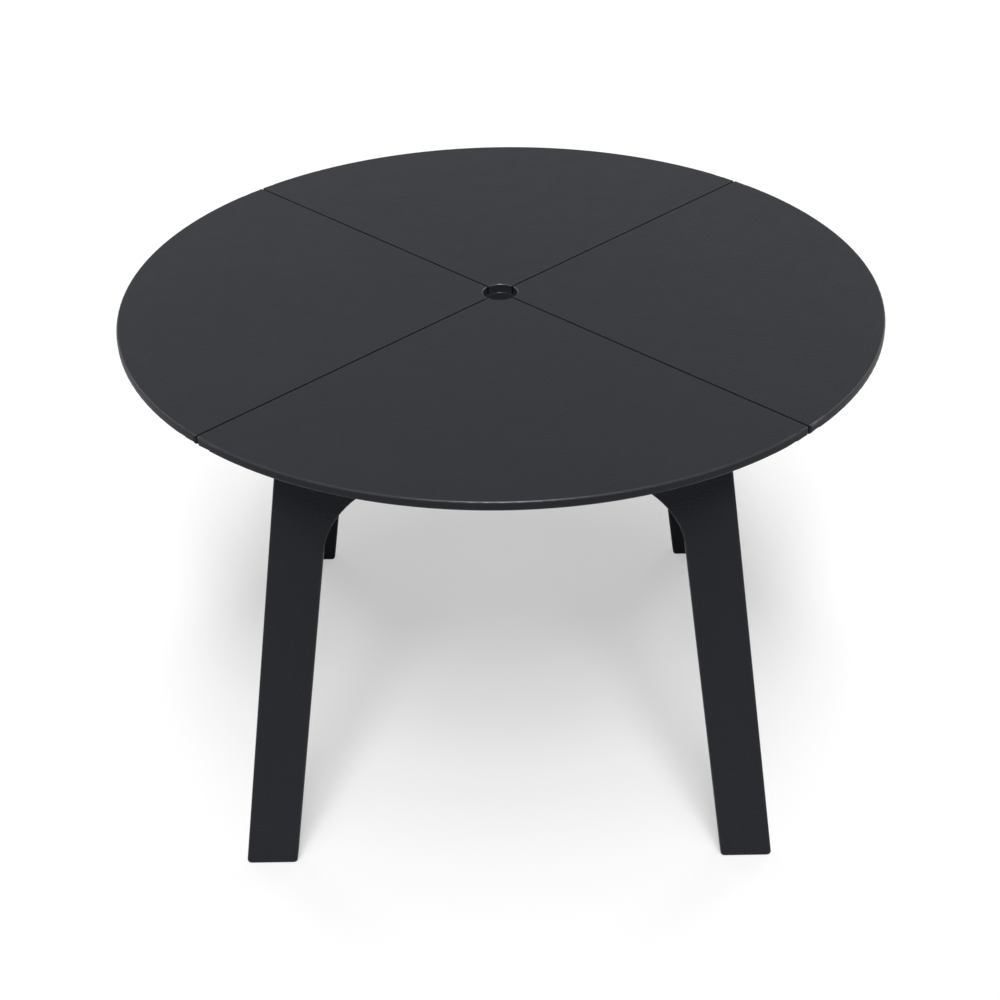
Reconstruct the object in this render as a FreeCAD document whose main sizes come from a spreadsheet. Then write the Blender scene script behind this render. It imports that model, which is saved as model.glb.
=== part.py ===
import FreeCAD, Part
import math
import os
import Sketcher

# Round garden table for an umbrella: four quarter panels on two arched leg boards.
# Origin on the floor under the centre of the top, +Z up, -Y to the front, +X to the right.
# All lengths are in millimetres.

SIZES = {
    # the whole table
    "table_height": 756.0,
    "top_diameter": 1118.0,
    # quarter panels of the top
    "panel_thickness": 13.5,
    "panel_gap": 2.4,
    "rim_round": 3.0,
    "seam_edge_round": 0.8,
    "panel_corner_round": 4.5,
    "tip_corner_round": 1.5,
    # hole for the umbrella pole
    "pole_hole_diameter": 50.8,
    "hole_edge_round": 1.8,
    # hub plate and seam battens, cut from one sheet and lying flat under the panels
    "underplate_thickness": 13.5,
    "underplate_edge_round": 2.0,
    "hub_plate_width": 240.0,
    "hub_corner_round": 15.0,
    "batten_width": 70.0,
    "batten_inset": 44.0,
    "batten_end_round": 15.0,
    "lap_clearance": 0.5,
    # arched leg boards, front and rear
    "arch_thickness": 25.4,
    "arch_spread": 816.0,
    "foot_spread": 799.0,
    "shoulder_spread": 584.0,
    "foot_width": 76.6,
    "shoulder_width": 73.0,
    "knee_radius": 137.6,
    "apron_depth": 49.0,
    "foot_corner_round": 6.5,
    "shoulder_round": 10.0,
    "arch_edge_round": 3.0,
    # side rails between the arches
    "rail_thickness": 25.4,
    "rail_spread": 540.0,
    "rail_depth": 60.0,
    "board_edge_round": 3.0,
    # hub beams between the side rails
    "beam_thickness": 25.4,
    "beam_spacing": 150.0,
    "beam_depth": 60.0,
    "dado_depth": 5.0,
    # cleats on the inner faces of the arches
    "cleat_thickness": 25.4,
    "cleat_height": 25.4,
    "cleat_end_gap": 10.0,
    # connector bolts and barrel nuts
    "bolt_diameter": 8.0,
    "bolt_length": 65.0,
    "bolt_head_diameter": 17.0,
    "bolt_head_height": 2.5,
    "bolt_clearance": 0.3,
    "bolt_end_spare": 2.0,
    "bolt_edge_distance": 16.0,
    "nut_diameter": 12.0,
    "nut_length": 20.0,
    "nut_setback": 32.0,
    "nut_clearance": 0.2,
    "thread_clearance": 0.1,
    # wood screws and where they go
    "screw_diameter": 5.0,
    "screw_clearance": 0.15,
    "screw_head_diameter": 10.0,
    "screw_head_height": 2.5,
    "screw_bite": 10.0,
    "pilot_spare": 0.5,
    "seam_screw_offset": 20.0,
    "seam_screw_hub_gap": 49.5,
    "seam_screw_rail_gap": 46.0,
    "tip_screw_radius": 120.0,
    "hub_screw_spacing": 120.0,
    "hub_screw_bite": 20.0,
    "cleat_side_screw_spread": 320.0,
    "cleat_top_screw_spread": 160.0,
    "rail_screw_spread": 300.0,
    "counterbore_diameter": 14.0,
    "counterbore_depth": 20.0,
}

# How far a cutting profile reaches past the face it cuts, and how near counts as touching.
OVERSHOOT = 1.0
TOUCH = 0.001
# Run of a 45 degree line along one axis, for each unit of its length.
DIAGONAL = math.sqrt(0.5)
QUARTER_TURN = 90.0


class Size:
    """A length with the sheet formula that gives it, so that what is drawn at the
    number also follows the sheet."""

    def __init__(self, number, formula):
        self.number = number
        self.formula = formula

    def joined(self, sign, other, number):
        text = other.formula if isinstance(other, Size) else repr(float(other))
        return Size(number, f"({self.formula} {sign} {text})")

    def __add__(self, other):
        return self.joined("+", other, self.number + amount(other))

    def __sub__(self, other):
        return self.joined("-", other, self.number - amount(other))

    def __mul__(self, other):
        return self.joined("*", other, self.number * amount(other))

    def __truediv__(self, other):
        return self.joined("/", other, self.number / amount(other))

    def __neg__(self):
        return self * -1.0


def amount(value):
    return value.number if isinstance(value, Size) else float(value)


def write_sheet(document):
    """Put every driving size in the sheet, one row each, named by its alias."""
    sheet = document.addObject("Spreadsheet::Sheet", "Dims")
    for row, (alias, value) in enumerate(SIZES.items(), start=1):
        sheet.set(f"A{row}", alias)
        sheet.set(f"B{row}", str(value))
        sheet.setAlias(f"B{row}", alias)
    document.recompute()
    return {alias: Size(float(value), f"Dims.{alias}") for alias, value in SIZES.items()}


doc = FreeCAD.newDocument("UmbrellaTable")
size = write_sheet(doc)
nodes = []


def bind(feature, attribute, value):
    """Tie a property of a feature to the sheet."""
    feature.setExpression(attribute, value.formula)


def new_body(label):
    body = doc.addObject("PartDesign::Body", label)
    body.Label = label
    return body


def origin_feature(body, role):
    for feature in body.Origin.OriginFeatures:
        if feature.Role == role:
            return feature
    raise ValueError(f"{body.Label} has no {role}")


def new_sketch(body, name, role, lift=None):
    """An empty sketch on one of the body's own planes, raised along its normal."""
    sketch = body.newObject("Sketcher::SketchObject", name)
    sketch.AttachmentSupport = [(origin_feature(body, role), "")]
    sketch.MapMode = "FlatFace"
    if lift is not None:
        bind(sketch, "AttachmentOffset.Base.z", lift)
    return sketch


def hold(sketch, kind, *places, value):
    """Add a dimension to a sketch and tie it to the sheet."""
    index = sketch.addConstraint(Sketcher.Constraint(kind, *places, value.number))
    bind(sketch, f"Constraints[{index}]", value)


def hold_point(sketch, geometry, end, across, up):
    """Fix one end of a line or the centre of a circle at a place in the sketch."""
    hold(sketch, "DistanceX", -1, 1, geometry, end, value=across)
    hold(sketch, "DistanceY", -1, 1, geometry, end, value=up)


def vector(across, up):
    return FreeCAD.Vector(amount(across), amount(up), 0)


def draw_line(sketch, start, end):
    return sketch.addGeometry(Part.LineSegment(vector(*start), vector(*end)), False)


def draw_polygon(sketch, corners):
    """Closed outline with straight sides, every corner fixed by two dimensions."""
    lines = []
    for number, corner in enumerate(corners):
        lines.append(draw_line(sketch, corner, corners[(number + 1) % len(corners)]))
    for number, line in enumerate(lines):
        following = lines[(number + 1) % len(lines)]
        sketch.addConstraint(Sketcher.Constraint("Coincident", line, 2, following, 1))
        hold_point(sketch, line, 1, *corners[number])


def draw_circles(sketch, spots, diameter):
    for across, up in spots:
        circle = Part.Circle(vector(across, up), FreeCAD.Vector(0, 0, 1), diameter.number / 2)
        index = sketch.addGeometry(circle, False)
        hold_point(sketch, index, 3, across, up)
        hold(sketch, "Diameter", index, value=diameter)


def pad(body, sketch, length, name="Board"):
    feature = body.newObject("PartDesign::Pad", name)
    feature.Profile = sketch
    bind(feature, "Length", length)
    doc.recompute()
    return feature


def cut(body, sketch, name, depth=None, along_normal=False):
    """Pocket a sketch into the body: to a depth on one side, or through both ways."""
    before = body.Shape.Volume
    feature = body.newObject("PartDesign::Pocket", name)
    feature.Profile = sketch
    if depth is None:
        feature.Type = "ThroughAll"
        feature.Midplane = True
    else:
        feature.Reversed = along_normal
        bind(feature, "Length", depth)
    doc.recompute()
    if body.Shape.Volume >= before - TOUCH:
        raise ValueError(f"{body.Label} {name} cuts nothing")
    return feature


def round_edges(body, name, radius, chosen):
    """Round over the edges of the body that the test picks."""
    names = [f"Edge{number}" for number, edge in enumerate(body.Shape.Edges, start=1) if chosen(edge)]
    base = body.Tip
    feature = body.newObject("PartDesign::Fillet", name)
    feature.Base = (base, names)
    bind(feature, "Radius", radius)
    doc.recompute()
    return feature


def middle(edge):
    return edge.valueAt((edge.FirstParameter + edge.LastParameter) / 2)


def runs_along(edge, axis):
    start = edge.valueAt(edge.FirstParameter)
    end = edge.valueAt(edge.LastParameter)
    span = end - start
    return span.Length > TOUCH and abs(span.normalize().dot(axis)) > 1 - TOUCH


def lies_at(edge, axis, level):
    """Whether the whole edge lies on the plane across the axis at that level."""
    box = edge.BoundBox
    low = FreeCAD.Vector(box.XMin, box.YMin, box.ZMin).dot(axis)
    high = FreeCAD.Vector(box.XMax, box.YMax, box.ZMax).dot(axis)
    return abs(low - level) < TOUCH and abs(high - level) < TOUCH


def stands_at(edge, radius):
    """Whether the middle of the edge is that far from the centre line of the table."""
    point = middle(edge)
    return abs(math.hypot(point.x, point.y) - radius.number) < TOUCH


X_WAY = FreeCAD.Vector(1, 0, 0)
Y_WAY = FreeCAD.Vector(0, 1, 0)
Z_WAY = FreeCAD.Vector(0, 0, 1)


def turn_body(body, degrees):
    body.Placement = FreeCAD.Placement(FreeCAD.Vector(0, 0, 0), FreeCAD.Rotation(Z_WAY, degrees))


def keep(piece):
    """List a finished piece as a node of the table."""
    nodes.append(piece)
    return piece


# Levels and lines that several pieces share.
underside = size["table_height"] - size["panel_thickness"]
plate_level = underside - size["underplate_thickness"]
rim_radius = size["top_diameter"] / 2
hole_radius = size["pole_hole_diameter"] / 2
arch_face = size["arch_spread"] / 2
arch_inner_face = arch_face - size["arch_thickness"]
rail_face = size["rail_spread"] / 2
rail_inner_face = rail_face - size["rail_thickness"]
rail_middle = rail_face - size["rail_thickness"] / 2
rail_bottom = underside - size["rail_depth"]
beam_middle = size["beam_spacing"] / 2
beam_end = rail_inner_face + size["dado_depth"] - size["lap_clearance"]
beam_bottom = underside - size["beam_depth"]
cleat_middle = arch_inner_face - size["cleat_thickness"] / 2
cleat_level = underside - size["cleat_height"] / 2
batten_start = size["hub_plate_width"] / 2 + size["lap_clearance"]
batten_end = rim_radius - size["batten_inset"]
upper_bolt_level = underside - size["bolt_edge_distance"]
lower_bolt_level = rail_bottom + size["bolt_edge_distance"]
beam_bolt_level = (plate_level + beam_bottom) / 2
bolt_hole = size["bolt_diameter"] + size["bolt_clearance"] * 2
nut_hole = size["nut_diameter"] + size["nut_clearance"] * 2
screw_hole = size["screw_diameter"] + size["screw_clearance"] * 2
pilot_depth = size["screw_bite"] + size["pilot_spare"]
nil = Size(0.0, "0")

# Seam screws sit in pairs, one each side of a seam, at three distances from the centre:
# beside the hub plate, before the rail, and midway from the rail to the batten's end.
seam_screw_reaches = [
    batten_start + size["seam_screw_hub_gap"],
    rail_inner_face / DIAGONAL - size["seam_screw_rail_gap"],
    (rail_face / DIAGONAL + size["seam_screw_offset"] + batten_end) / 2,
]
rail_screw_places = [-size["rail_screw_spread"] / 2, nil, size["rail_screw_spread"] / 2]
cleat_side_places = [-size["cleat_side_screw_spread"] / 2, nil, size["cleat_side_screw_spread"] / 2]
cleat_top_places = [-size["cleat_top_screw_spread"] / 2, size["cleat_top_screw_spread"] / 2]


def draw_roundover(sketch, corner, inward, radius):
    """Waste outside a rounded corner of a section: a quarter arc and two lines that
    meet past the sharp corner. inward gives the way to the solid on each axis."""
    centre = (corner[0] + radius * inward[0], corner[1] + radius * inward[1])
    on_side = (corner[0], centre[1])
    on_face = (centre[0], corner[1])
    outside = (corner[0] - OVERSHOOT * inward[0], corner[1] - OVERSHOOT * inward[1])
    on_arc = (centre[0] - radius * DIAGONAL * inward[0], centre[1] - radius * DIAGONAL * inward[1])
    arc = sketch.addGeometry(Part.Arc(vector(*on_side), vector(*on_arc), vector(*on_face)), False)
    side_first = sketch.getPoint(arc, 1).isEqual(vector(*on_side), TOUCH)
    side_end, face_end = (1, 2) if side_first else (2, 1)
    side_line = draw_line(sketch, on_side, outside)
    face_line = draw_line(sketch, outside, on_face)
    sketch.addConstraint(Sketcher.Constraint("Coincident", side_line, 1, arc, side_end))
    sketch.addConstraint(Sketcher.Constraint("Coincident", side_line, 2, face_line, 1))
    sketch.addConstraint(Sketcher.Constraint("Coincident", face_line, 2, arc, face_end))
    hold_point(sketch, arc, 3, *centre)
    hold_point(sketch, face_line, 1, *outside)
    sketch.addConstraint(Sketcher.Constraint("Horizontal", arc, 3, arc, side_end))
    sketch.addConstraint(Sketcher.Constraint("Vertical", arc, 3, arc, face_end))
    hold(sketch, "Radius", arc, value=radius)


def draw_quarter(sketch):
    """Outline of a quarter panel centred on -Y: rim, two seam edges and hole edge."""
    half_gap = size["panel_gap"] / 2
    rim = rim_radius.number
    hole = hole_radius.number
    lean = math.asin(half_gap.number / rim)
    tip_lean = math.asin(half_gap.number / hole)
    eighth = math.radians(QUARTER_TURN / 2)
    down = math.radians(QUARTER_TURN)
    centre = FreeCAD.Vector(0, 0, 0)
    rim_arc = sketch.addGeometry(Part.ArcOfCircle(
        Part.Circle(centre, Z_WAY, rim), -down - eighth + lean, -down + eighth - lean), False)
    hole_arc = sketch.addGeometry(Part.ArcOfCircle(
        Part.Circle(centre, Z_WAY, hole), -down - eighth + tip_lean, -down + eighth - tip_lean), False)
    seams = []
    for end in (1, 2):
        seams.append(sketch.addGeometry(
            Part.LineSegment(sketch.getPoint(hole_arc, end), sketch.getPoint(rim_arc, end)), False))
        sketch.addConstraint(Sketcher.Constraint("Coincident", seams[-1], 1, hole_arc, end))
        sketch.addConstraint(Sketcher.Constraint("Coincident", seams[-1], 2, rim_arc, end))
        hold(sketch, "Distance", -1, 1, seams[-1], value=half_gap)
    for arc, radius in ((rim_arc, rim_radius), (hole_arc, hole_radius)):
        sketch.addConstraint(Sketcher.Constraint("Coincident", arc, 3, -1, 1))
        hold(sketch, "Radius", arc, value=radius)
    sketch.addConstraint(Sketcher.Constraint("Perpendicular", seams[0], seams[1]))
    sketch.addConstraint(Sketcher.Constraint("Symmetric", rim_arc, 1, rim_arc, 2, -2))


def panel_seam_spots():
    """Seam screws under one panel, in the panel's own place centred on -Y."""
    spots = []
    for reach in seam_screw_reaches:
        across = (reach - size["seam_screw_offset"]) * DIAGONAL
        back = -(reach + size["seam_screw_offset"]) * DIAGONAL
        spots += [(across, back), (-across, back)]
    return spots


def make_panel(label, turn, carrier_spots):
    """Quarter of the round top, cut from sheet, with a rounded rim and pilot holes
    in its underside for the screws that come up through its carriers."""
    body = new_body(label)
    outline = new_sketch(body, "Quarter", "XY_Plane", underside)
    draw_quarter(outline)
    pad(body, outline, size["panel_thickness"], "Sheet")
    round_edges(body, "TipCorners", size["tip_corner_round"],
                lambda edge: runs_along(edge, Z_WAY) and stands_at(edge, hole_radius))
    round_edges(body, "RimCorners", size["panel_corner_round"],
                lambda edge: runs_along(edge, Z_WAY) and stands_at(edge, rim_radius))
    top = size["table_height"].number
    bottom = underside.number
    round_edges(body, "SeamEdges", size["seam_edge_round"],
                lambda edge: lies_at(edge, Z_WAY, top) or lies_at(edge, Z_WAY, bottom))
    waste = new_sketch(body, "EdgeWaste", "XZ_Plane")
    for level, inward_up in ((size["table_height"], -1), (underside, 1)):
        draw_roundover(waste, (rim_radius, level), (-1, inward_up), size["rim_round"])
        draw_roundover(waste, (hole_radius, level), (1, inward_up), size["hole_edge_round"])
    groove = body.newObject("PartDesign::Groove", "RoundedRim")
    groove.Profile = waste
    groove.ReferenceAxis = (origin_feature(body, "Z_Axis"), [""])
    groove.Angle = 360
    before = body.Shape.Volume
    doc.recompute()
    if body.Shape.Volume >= before:
        raise ValueError(f"{label} has no rounded rim")
    pilots = new_sketch(body, "Pilots", "XY_Plane", underside)
    spots = panel_seam_spots() + [(nil, -size["tip_screw_radius"])] + carrier_spots
    draw_circles(pilots, spots, screw_hole)
    cut(body, pilots, "PilotHoles", pilot_depth, along_normal=True)
    turn_body(body, turn)
    return keep(body)


cleat_spots = [(across, -cleat_middle) for across in cleat_top_places]
rail_spots = [(across, -rail_middle) for across in rail_screw_places]
make_panel("top_panel_front", 0, cleat_spots)
make_panel("top_panel_right", QUARTER_TURN, rail_spots)
make_panel("top_panel_rear", 2 * QUARTER_TURN, cleat_spots)
make_panel("top_panel_left", 3 * QUARTER_TURN, rail_spots)


def hub_screw_spots():
    half = size["hub_screw_spacing"] / 2
    return [(half, beam_middle), (-half, beam_middle), (-half, -beam_middle), (half, -beam_middle)]


def tip_screw_spots():
    reach = size["tip_screw_radius"]
    return [(nil, -reach), (reach, nil), (nil, reach), (-reach, nil)]


def make_hub_plate():
    """Square plate, set cornerwise, that carries the four panel tips and lines the
    pole hole under them. Its flat sides face the seams."""
    body = new_body("hub_plate")
    outline = new_sketch(body, "Square", "XY_Plane", plate_level)
    corner = size["hub_plate_width"] * DIAGONAL
    draw_polygon(outline, [(corner, nil), (nil, corner), (-corner, nil), (nil, -corner)])
    pad(body, outline, size["underplate_thickness"], "Sheet")
    round_edges(body, "Corners", size["hub_corner_round"], lambda edge: runs_along(edge, Z_WAY))
    level = plate_level.number
    round_edges(body, "LowerEdges", size["underplate_edge_round"], lambda edge: lies_at(edge, Z_WAY, level))
    hole = new_sketch(body, "PoleHole", "XY_Plane", plate_level)
    draw_circles(hole, [(nil, nil)], size["pole_hole_diameter"])
    cut(body, hole, "PoleBore")
    reach = hole_radius.number
    round_edges(body, "PoleHoleEdges", size["hole_edge_round"],
                lambda edge: abs(edge.BoundBox.XLength - 2 * reach) < TOUCH)
    holes = new_sketch(body, "Screws", "XY_Plane", plate_level)
    draw_circles(holes, tip_screw_spots() + hub_screw_spots(), screw_hole)
    cut(body, holes, "ScrewHoles")
    sinks = new_sketch(body, "Countersinks", "XY_Plane", underside)
    draw_circles(sinks, hub_screw_spots(), size["screw_head_diameter"] + size["screw_clearance"] * 2)
    cut(body, sinks, "HeadSeats", size["screw_head_height"])
    return keep(body)


make_hub_plate()


def make_batten(label, turn):
    """Flat strip under a seam: it ties the two panel edges together from the hub
    plate out to near the rim, and lies in a lap in the side rail on its way."""
    body = new_body(label)
    outline = new_sketch(body, "Strip", "XY_Plane", plate_level)
    half = size["batten_width"] / 2
    draw_polygon(outline, [(batten_start, -half), (batten_end, -half),
                           (batten_end, half), (batten_start, half)])
    pad(body, outline, size["underplate_thickness"], "Sheet")
    end = batten_end.number
    round_edges(body, "OuterCorners", size["batten_end_round"],
                lambda edge: runs_along(edge, Z_WAY) and abs(middle(edge).x - end) < TOUCH)
    level = plate_level.number
    start = batten_start.number
    round_edges(body, "LowerEdges", size["underplate_edge_round"],
                lambda edge: lies_at(edge, Z_WAY, level) and middle(edge).x > start + TOUCH)
    holes = new_sketch(body, "Screws", "XY_Plane", plate_level)
    offset = size["seam_screw_offset"]
    spots = [(reach, side) for reach in seam_screw_reaches for side in (offset, -offset)]
    draw_circles(holes, spots, screw_hole)
    cut(body, holes, "ScrewHoles")
    turn_body(body, turn)
    return keep(body)


# The seams lie an eighth of a turn from the panels' middles.
make_batten("seam_batten_front_right", -QUARTER_TURN / 2)
make_batten("seam_batten_rear_right", QUARTER_TURN / 2)
make_batten("seam_batten_rear_left", QUARTER_TURN + QUARTER_TURN / 2)
make_batten("seam_batten_front_left", -QUARTER_TURN - QUARTER_TURN / 2)


def draw_arch(sketch):
    """Outline of the leg board: two leaning legs, a little wider at the foot, that curve
    into a straight apron at the top. Each inner line aims at the point where it would
    meet the top. Only half is dimensioned; the other half mirrors it."""
    foot = size["foot_spread"] / 2
    shoulder = size["shoulder_spread"] / 2
    inner_foot = foot - size["foot_width"]
    inner_shoulder = shoulder - size["shoulder_width"]
    apron = underside - size["apron_depth"]
    radius = size["knee_radius"]
    slope = (inner_foot.number - inner_shoulder.number) / underside.number
    centre_up = apron.number - radius.number
    centre_across = inner_foot.number - slope * centre_up - radius.number * math.hypot(1, slope)
    knee_low = (centre_across + radius.number / math.hypot(1, slope),
                centre_up + radius.number * slope / math.hypot(1, slope))
    knee_top = (centre_across, apron.number)
    bulge = DIAGONAL * radius.number
    halves = []
    for side in (1, -1):
        floor = draw_line(sketch, (side * inner_foot.number, 0), (side * foot.number, 0))
        outer = draw_line(sketch, (side * foot.number, 0), (side * shoulder.number, underside))
        inner = draw_line(sketch, (side * inner_foot.number, 0), (side * knee_low[0], knee_low[1]))
        knee = sketch.addGeometry(Part.Arc(
            vector(side * knee_low[0], knee_low[1]),
            vector(side * (centre_across + bulge), centre_up + bulge),
            vector(side * knee_top[0], knee_top[1])), False)
        aim = sketch.addGeometry(Part.Point(vector(side * inner_shoulder.number, underside)), True)
        low_first = sketch.getPoint(knee, 1).isEqual(vector(side * knee_low[0], knee_low[1]), TOUCH)
        low_end, top_end = (1, 2) if low_first else (2, 1)
        sketch.addConstraint(Sketcher.Constraint("Coincident", floor, 2, outer, 1))
        sketch.addConstraint(Sketcher.Constraint("Coincident", floor, 1, inner, 1))
        sketch.addConstraint(Sketcher.Constraint("Tangent", inner, 2, knee, low_end))
        sketch.addConstraint(Sketcher.Constraint("PointOnObject", aim, 1, inner))
        halves.append((floor, outer, aim, knee, top_end))
    (floor, outer, aim, knee, knee_end), (floor_2, outer_2, aim_2, knee_2, knee_end_2) = halves
    top = draw_line(sketch, (shoulder, underside), (-shoulder, underside))
    lintel = draw_line(sketch, (knee_top[0], apron), (-knee_top[0], apron))
    sketch.addConstraint(Sketcher.Constraint("Coincident", top, 1, outer, 2))
    sketch.addConstraint(Sketcher.Constraint("Coincident", top, 2, outer_2, 2))
    sketch.addConstraint(Sketcher.Constraint("Tangent", knee, knee_end, lintel, 1))
    sketch.addConstraint(Sketcher.Constraint("Tangent", knee_2, knee_end_2, lintel, 2))
    hold_point(sketch, floor, 2, foot, nil)
    hold_point(sketch, outer, 2, shoulder, underside)
    sketch.addConstraint(Sketcher.Constraint("Horizontal", floor))
    hold(sketch, "DistanceX", floor, 1, floor, 2, value=size["foot_width"])
    hold_point(sketch, aim, 1, inner_shoulder, underside)
    hold(sketch, "Radius", knee, value=radius)
    hold(sketch, "DistanceY", -1, 1, lintel, 1, value=apron)
    sketch.addConstraint(Sketcher.Constraint("Symmetric", outer, 1, outer_2, 1, -2))
    sketch.addConstraint(Sketcher.Constraint("Symmetric", outer, 2, outer_2, 2, -2))
    sketch.addConstraint(Sketcher.Constraint("Symmetric", floor, 1, floor_2, 1, -2))
    sketch.addConstraint(Sketcher.Constraint("Symmetric", aim, 1, aim_2, 1, -2))
    sketch.addConstraint(Sketcher.Constraint("Symmetric", lintel, 1, lintel, 2, -2))


def make_arch(label, turn):
    """One board with two legs and the apron between them, routed from thick sheet."""
    body = new_body(label)
    outline = new_sketch(body, "Arch", "XZ_Plane", arch_inner_face)
    draw_arch(outline)
    pad(body, outline, size["arch_thickness"])
    top = underside.number
    round_edges(body, "FootCorners", size["foot_corner_round"],
                lambda edge: runs_along(edge, Y_WAY) and lies_at(edge, Z_WAY, 0))
    round_edges(body, "Shoulders", size["shoulder_round"],
                lambda edge: runs_along(edge, Y_WAY) and lies_at(edge, Z_WAY, top))
    faces = (-arch_face.number, -arch_inner_face.number)
    round_edges(body, "RoutedEdges", size["arch_edge_round"],
                lambda edge: any(lies_at(edge, Y_WAY, face) for face in faces))
    bolts = new_sketch(body, "Bolts", "XZ_Plane", arch_inner_face)
    levels = (upper_bolt_level, lower_bolt_level)
    spots = [(across, level) for across in (rail_middle, -rail_middle) for level in levels]
    draw_circles(bolts, spots, bolt_hole)
    cut(body, bolts, "BoltHoles")
    pilots = new_sketch(body, "Pilots", "XZ_Plane", arch_inner_face)
    draw_circles(pilots, [(across, cleat_level) for across in cleat_side_places], screw_hole)
    cut(body, pilots, "PilotHoles", pilot_depth, along_normal=True)
    turn_body(body, turn)
    return keep(body)


make_arch("front_arch", 0)
make_arch("rear_arch", 2 * QUARTER_TURN)


def draw_lap(sketch, side):
    """Plan of the lap where a seam batten crosses the right-hand rail at 45 degrees."""
    half = (size["batten_width"] / 2 + size["lap_clearance"]) / DIAGONAL
    near = rail_inner_face - OVERSHOOT
    far = rail_face + OVERSHOOT
    corners = [(near, near - half), (far, far - half), (far, far + half), (near, near + half)]
    draw_polygon(sketch, [(across, back * side) for across, back in corners])


def make_rail(label, turn):
    """Board on edge from arch to arch. It is lapped for two seam battens, housed for
    the ends of both hub beams and bored for bolts, nuts and the screws to its panel."""
    body = new_body(label)
    outline = new_sketch(body, "Profile", "YZ_Plane", rail_inner_face)
    draw_polygon(outline, [(-arch_inner_face, rail_bottom), (arch_inner_face, rail_bottom),
                           (arch_inner_face, underside), (-arch_inner_face, underside)])
    pad(body, outline, size["rail_thickness"])
    low = rail_bottom.number
    round_edges(body, "LowerEdges", size["board_edge_round"],
                lambda edge: runs_along(edge, Y_WAY) and lies_at(edge, Z_WAY, low))
    for name, side in (("RearLap", 1), ("FrontLap", -1)):
        lap = new_sketch(body, name + "Plan", "XY_Plane", underside)
        draw_lap(lap, side)
        cut(body, lap, name, size["underplate_thickness"])
    dados = new_sketch(body, "DadoPlan", "XY_Plane", underside)
    half = size["beam_thickness"] / 2 + size["lap_clearance"]
    depth = rail_inner_face + size["dado_depth"]
    for middle_line in (beam_middle, -beam_middle):
        draw_polygon(dados, [(rail_inner_face - OVERSHOOT, middle_line - half), (depth, middle_line - half),
                             (depth, middle_line + half), (rail_inner_face - OVERSHOOT, middle_line + half)])
    cut(body, dados, "Dados")
    levels = (upper_bolt_level, lower_bolt_level)
    reach = size["bolt_length"] - size["arch_thickness"] + size["bolt_end_spare"]
    for name, end, along_normal in (("Front", arch_inner_face, False), ("Rear", -arch_inner_face, True)):
        bolts = new_sketch(body, name + "Bolts", "XZ_Plane", end)
        draw_circles(bolts, [(rail_middle, level) for level in levels], bolt_hole)
        cut(body, bolts, name + "BoltHoles", reach, along_normal)
    nuts = new_sketch(body, "Nuts", "YZ_Plane", rail_inner_face)
    nut_line = arch_inner_face - size["nut_setback"]
    draw_circles(nuts, [(along, level) for along in (nut_line, -nut_line) for level in levels], nut_hole)
    nut_depth = size["rail_thickness"] / 2 + size["nut_length"] / 2 + size["nut_clearance"]
    cut(body, nuts, "NutHoles", nut_depth, along_normal=True)
    through = new_sketch(body, "BeamBolts", "YZ_Plane", rail_inner_face)
    draw_circles(through, [(beam_middle, beam_bolt_level), (-beam_middle, beam_bolt_level)], bolt_hole)
    cut(body, through, "BeamBoltHoles")
    spots = [(rail_middle, along) for along in rail_screw_places]
    screws = new_sketch(body, "Screws", "XY_Plane", rail_bottom)
    draw_circles(screws, spots, screw_hole)
    cut(body, screws, "ScrewHoles")
    bores = new_sketch(body, "Counterbores", "XY_Plane", rail_bottom)
    draw_circles(bores, spots, size["counterbore_diameter"])
    cut(body, bores, "ScrewHeadBores", size["counterbore_depth"], along_normal=True)
    turn_body(body, turn)
    return keep(body)


make_rail("right_rail", 0)
make_rail("left_rail", 2 * QUARTER_TURN)


def make_beam(label, turn):
    """Board on edge between the side rails, stepped down in the middle so that the
    hub plate and the inner ends of the seam battens lie flush with its top."""
    body = new_body(label)
    back = beam_middle - size["beam_thickness"] / 2
    outline = new_sketch(body, "Profile", "XZ_Plane", back)
    lap = (size["batten_width"] / 2 + size["lap_clearance"]) / DIAGONAL
    step = beam_middle + size["beam_thickness"] / 2 + lap
    draw_polygon(outline, [(-beam_end, beam_bottom), (beam_end, beam_bottom), (beam_end, underside),
                           (step, underside), (step, plate_level), (-step, plate_level),
                           (-step, underside), (-beam_end, underside)])
    pad(body, outline, size["beam_thickness"])
    low = beam_bottom.number
    round_edges(body, "LowerEdges", size["board_edge_round"],
                lambda edge: runs_along(edge, X_WAY) and lies_at(edge, Z_WAY, low))
    reach = size["bolt_length"] - size["rail_thickness"] + size["dado_depth"] + size["bolt_end_spare"]
    for name, end, along_normal in (("Right", beam_end, False), ("Left", -beam_end, True)):
        bolts = new_sketch(body, name + "Bolt", "YZ_Plane", end)
        draw_circles(bolts, [(-beam_middle, beam_bolt_level)], bolt_hole)
        cut(body, bolts, name + "BoltHole", reach, along_normal)
    nuts = new_sketch(body, "Nuts", "XZ_Plane", back)
    nut_line = rail_inner_face + size["dado_depth"] - size["nut_setback"]
    draw_circles(nuts, [(nut_line, beam_bolt_level), (-nut_line, beam_bolt_level)], nut_hole)
    nut_depth = size["beam_thickness"] / 2 + size["nut_length"] / 2 + size["nut_clearance"]
    cut(body, nuts, "NutHoles", nut_depth, along_normal=True)
    pilots = new_sketch(body, "Pilots", "XY_Plane", plate_level)
    spots = [spot for spot in hub_screw_spots() if spot[1].number < 0]
    draw_circles(pilots, spots, screw_hole)
    cut(body, pilots, "PilotHoles", size["hub_screw_bite"] + size["pilot_spare"])
    turn_body(body, turn)
    return keep(body)


make_beam("front_hub_beam", 0)
make_beam("rear_hub_beam", 2 * QUARTER_TURN)


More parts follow.
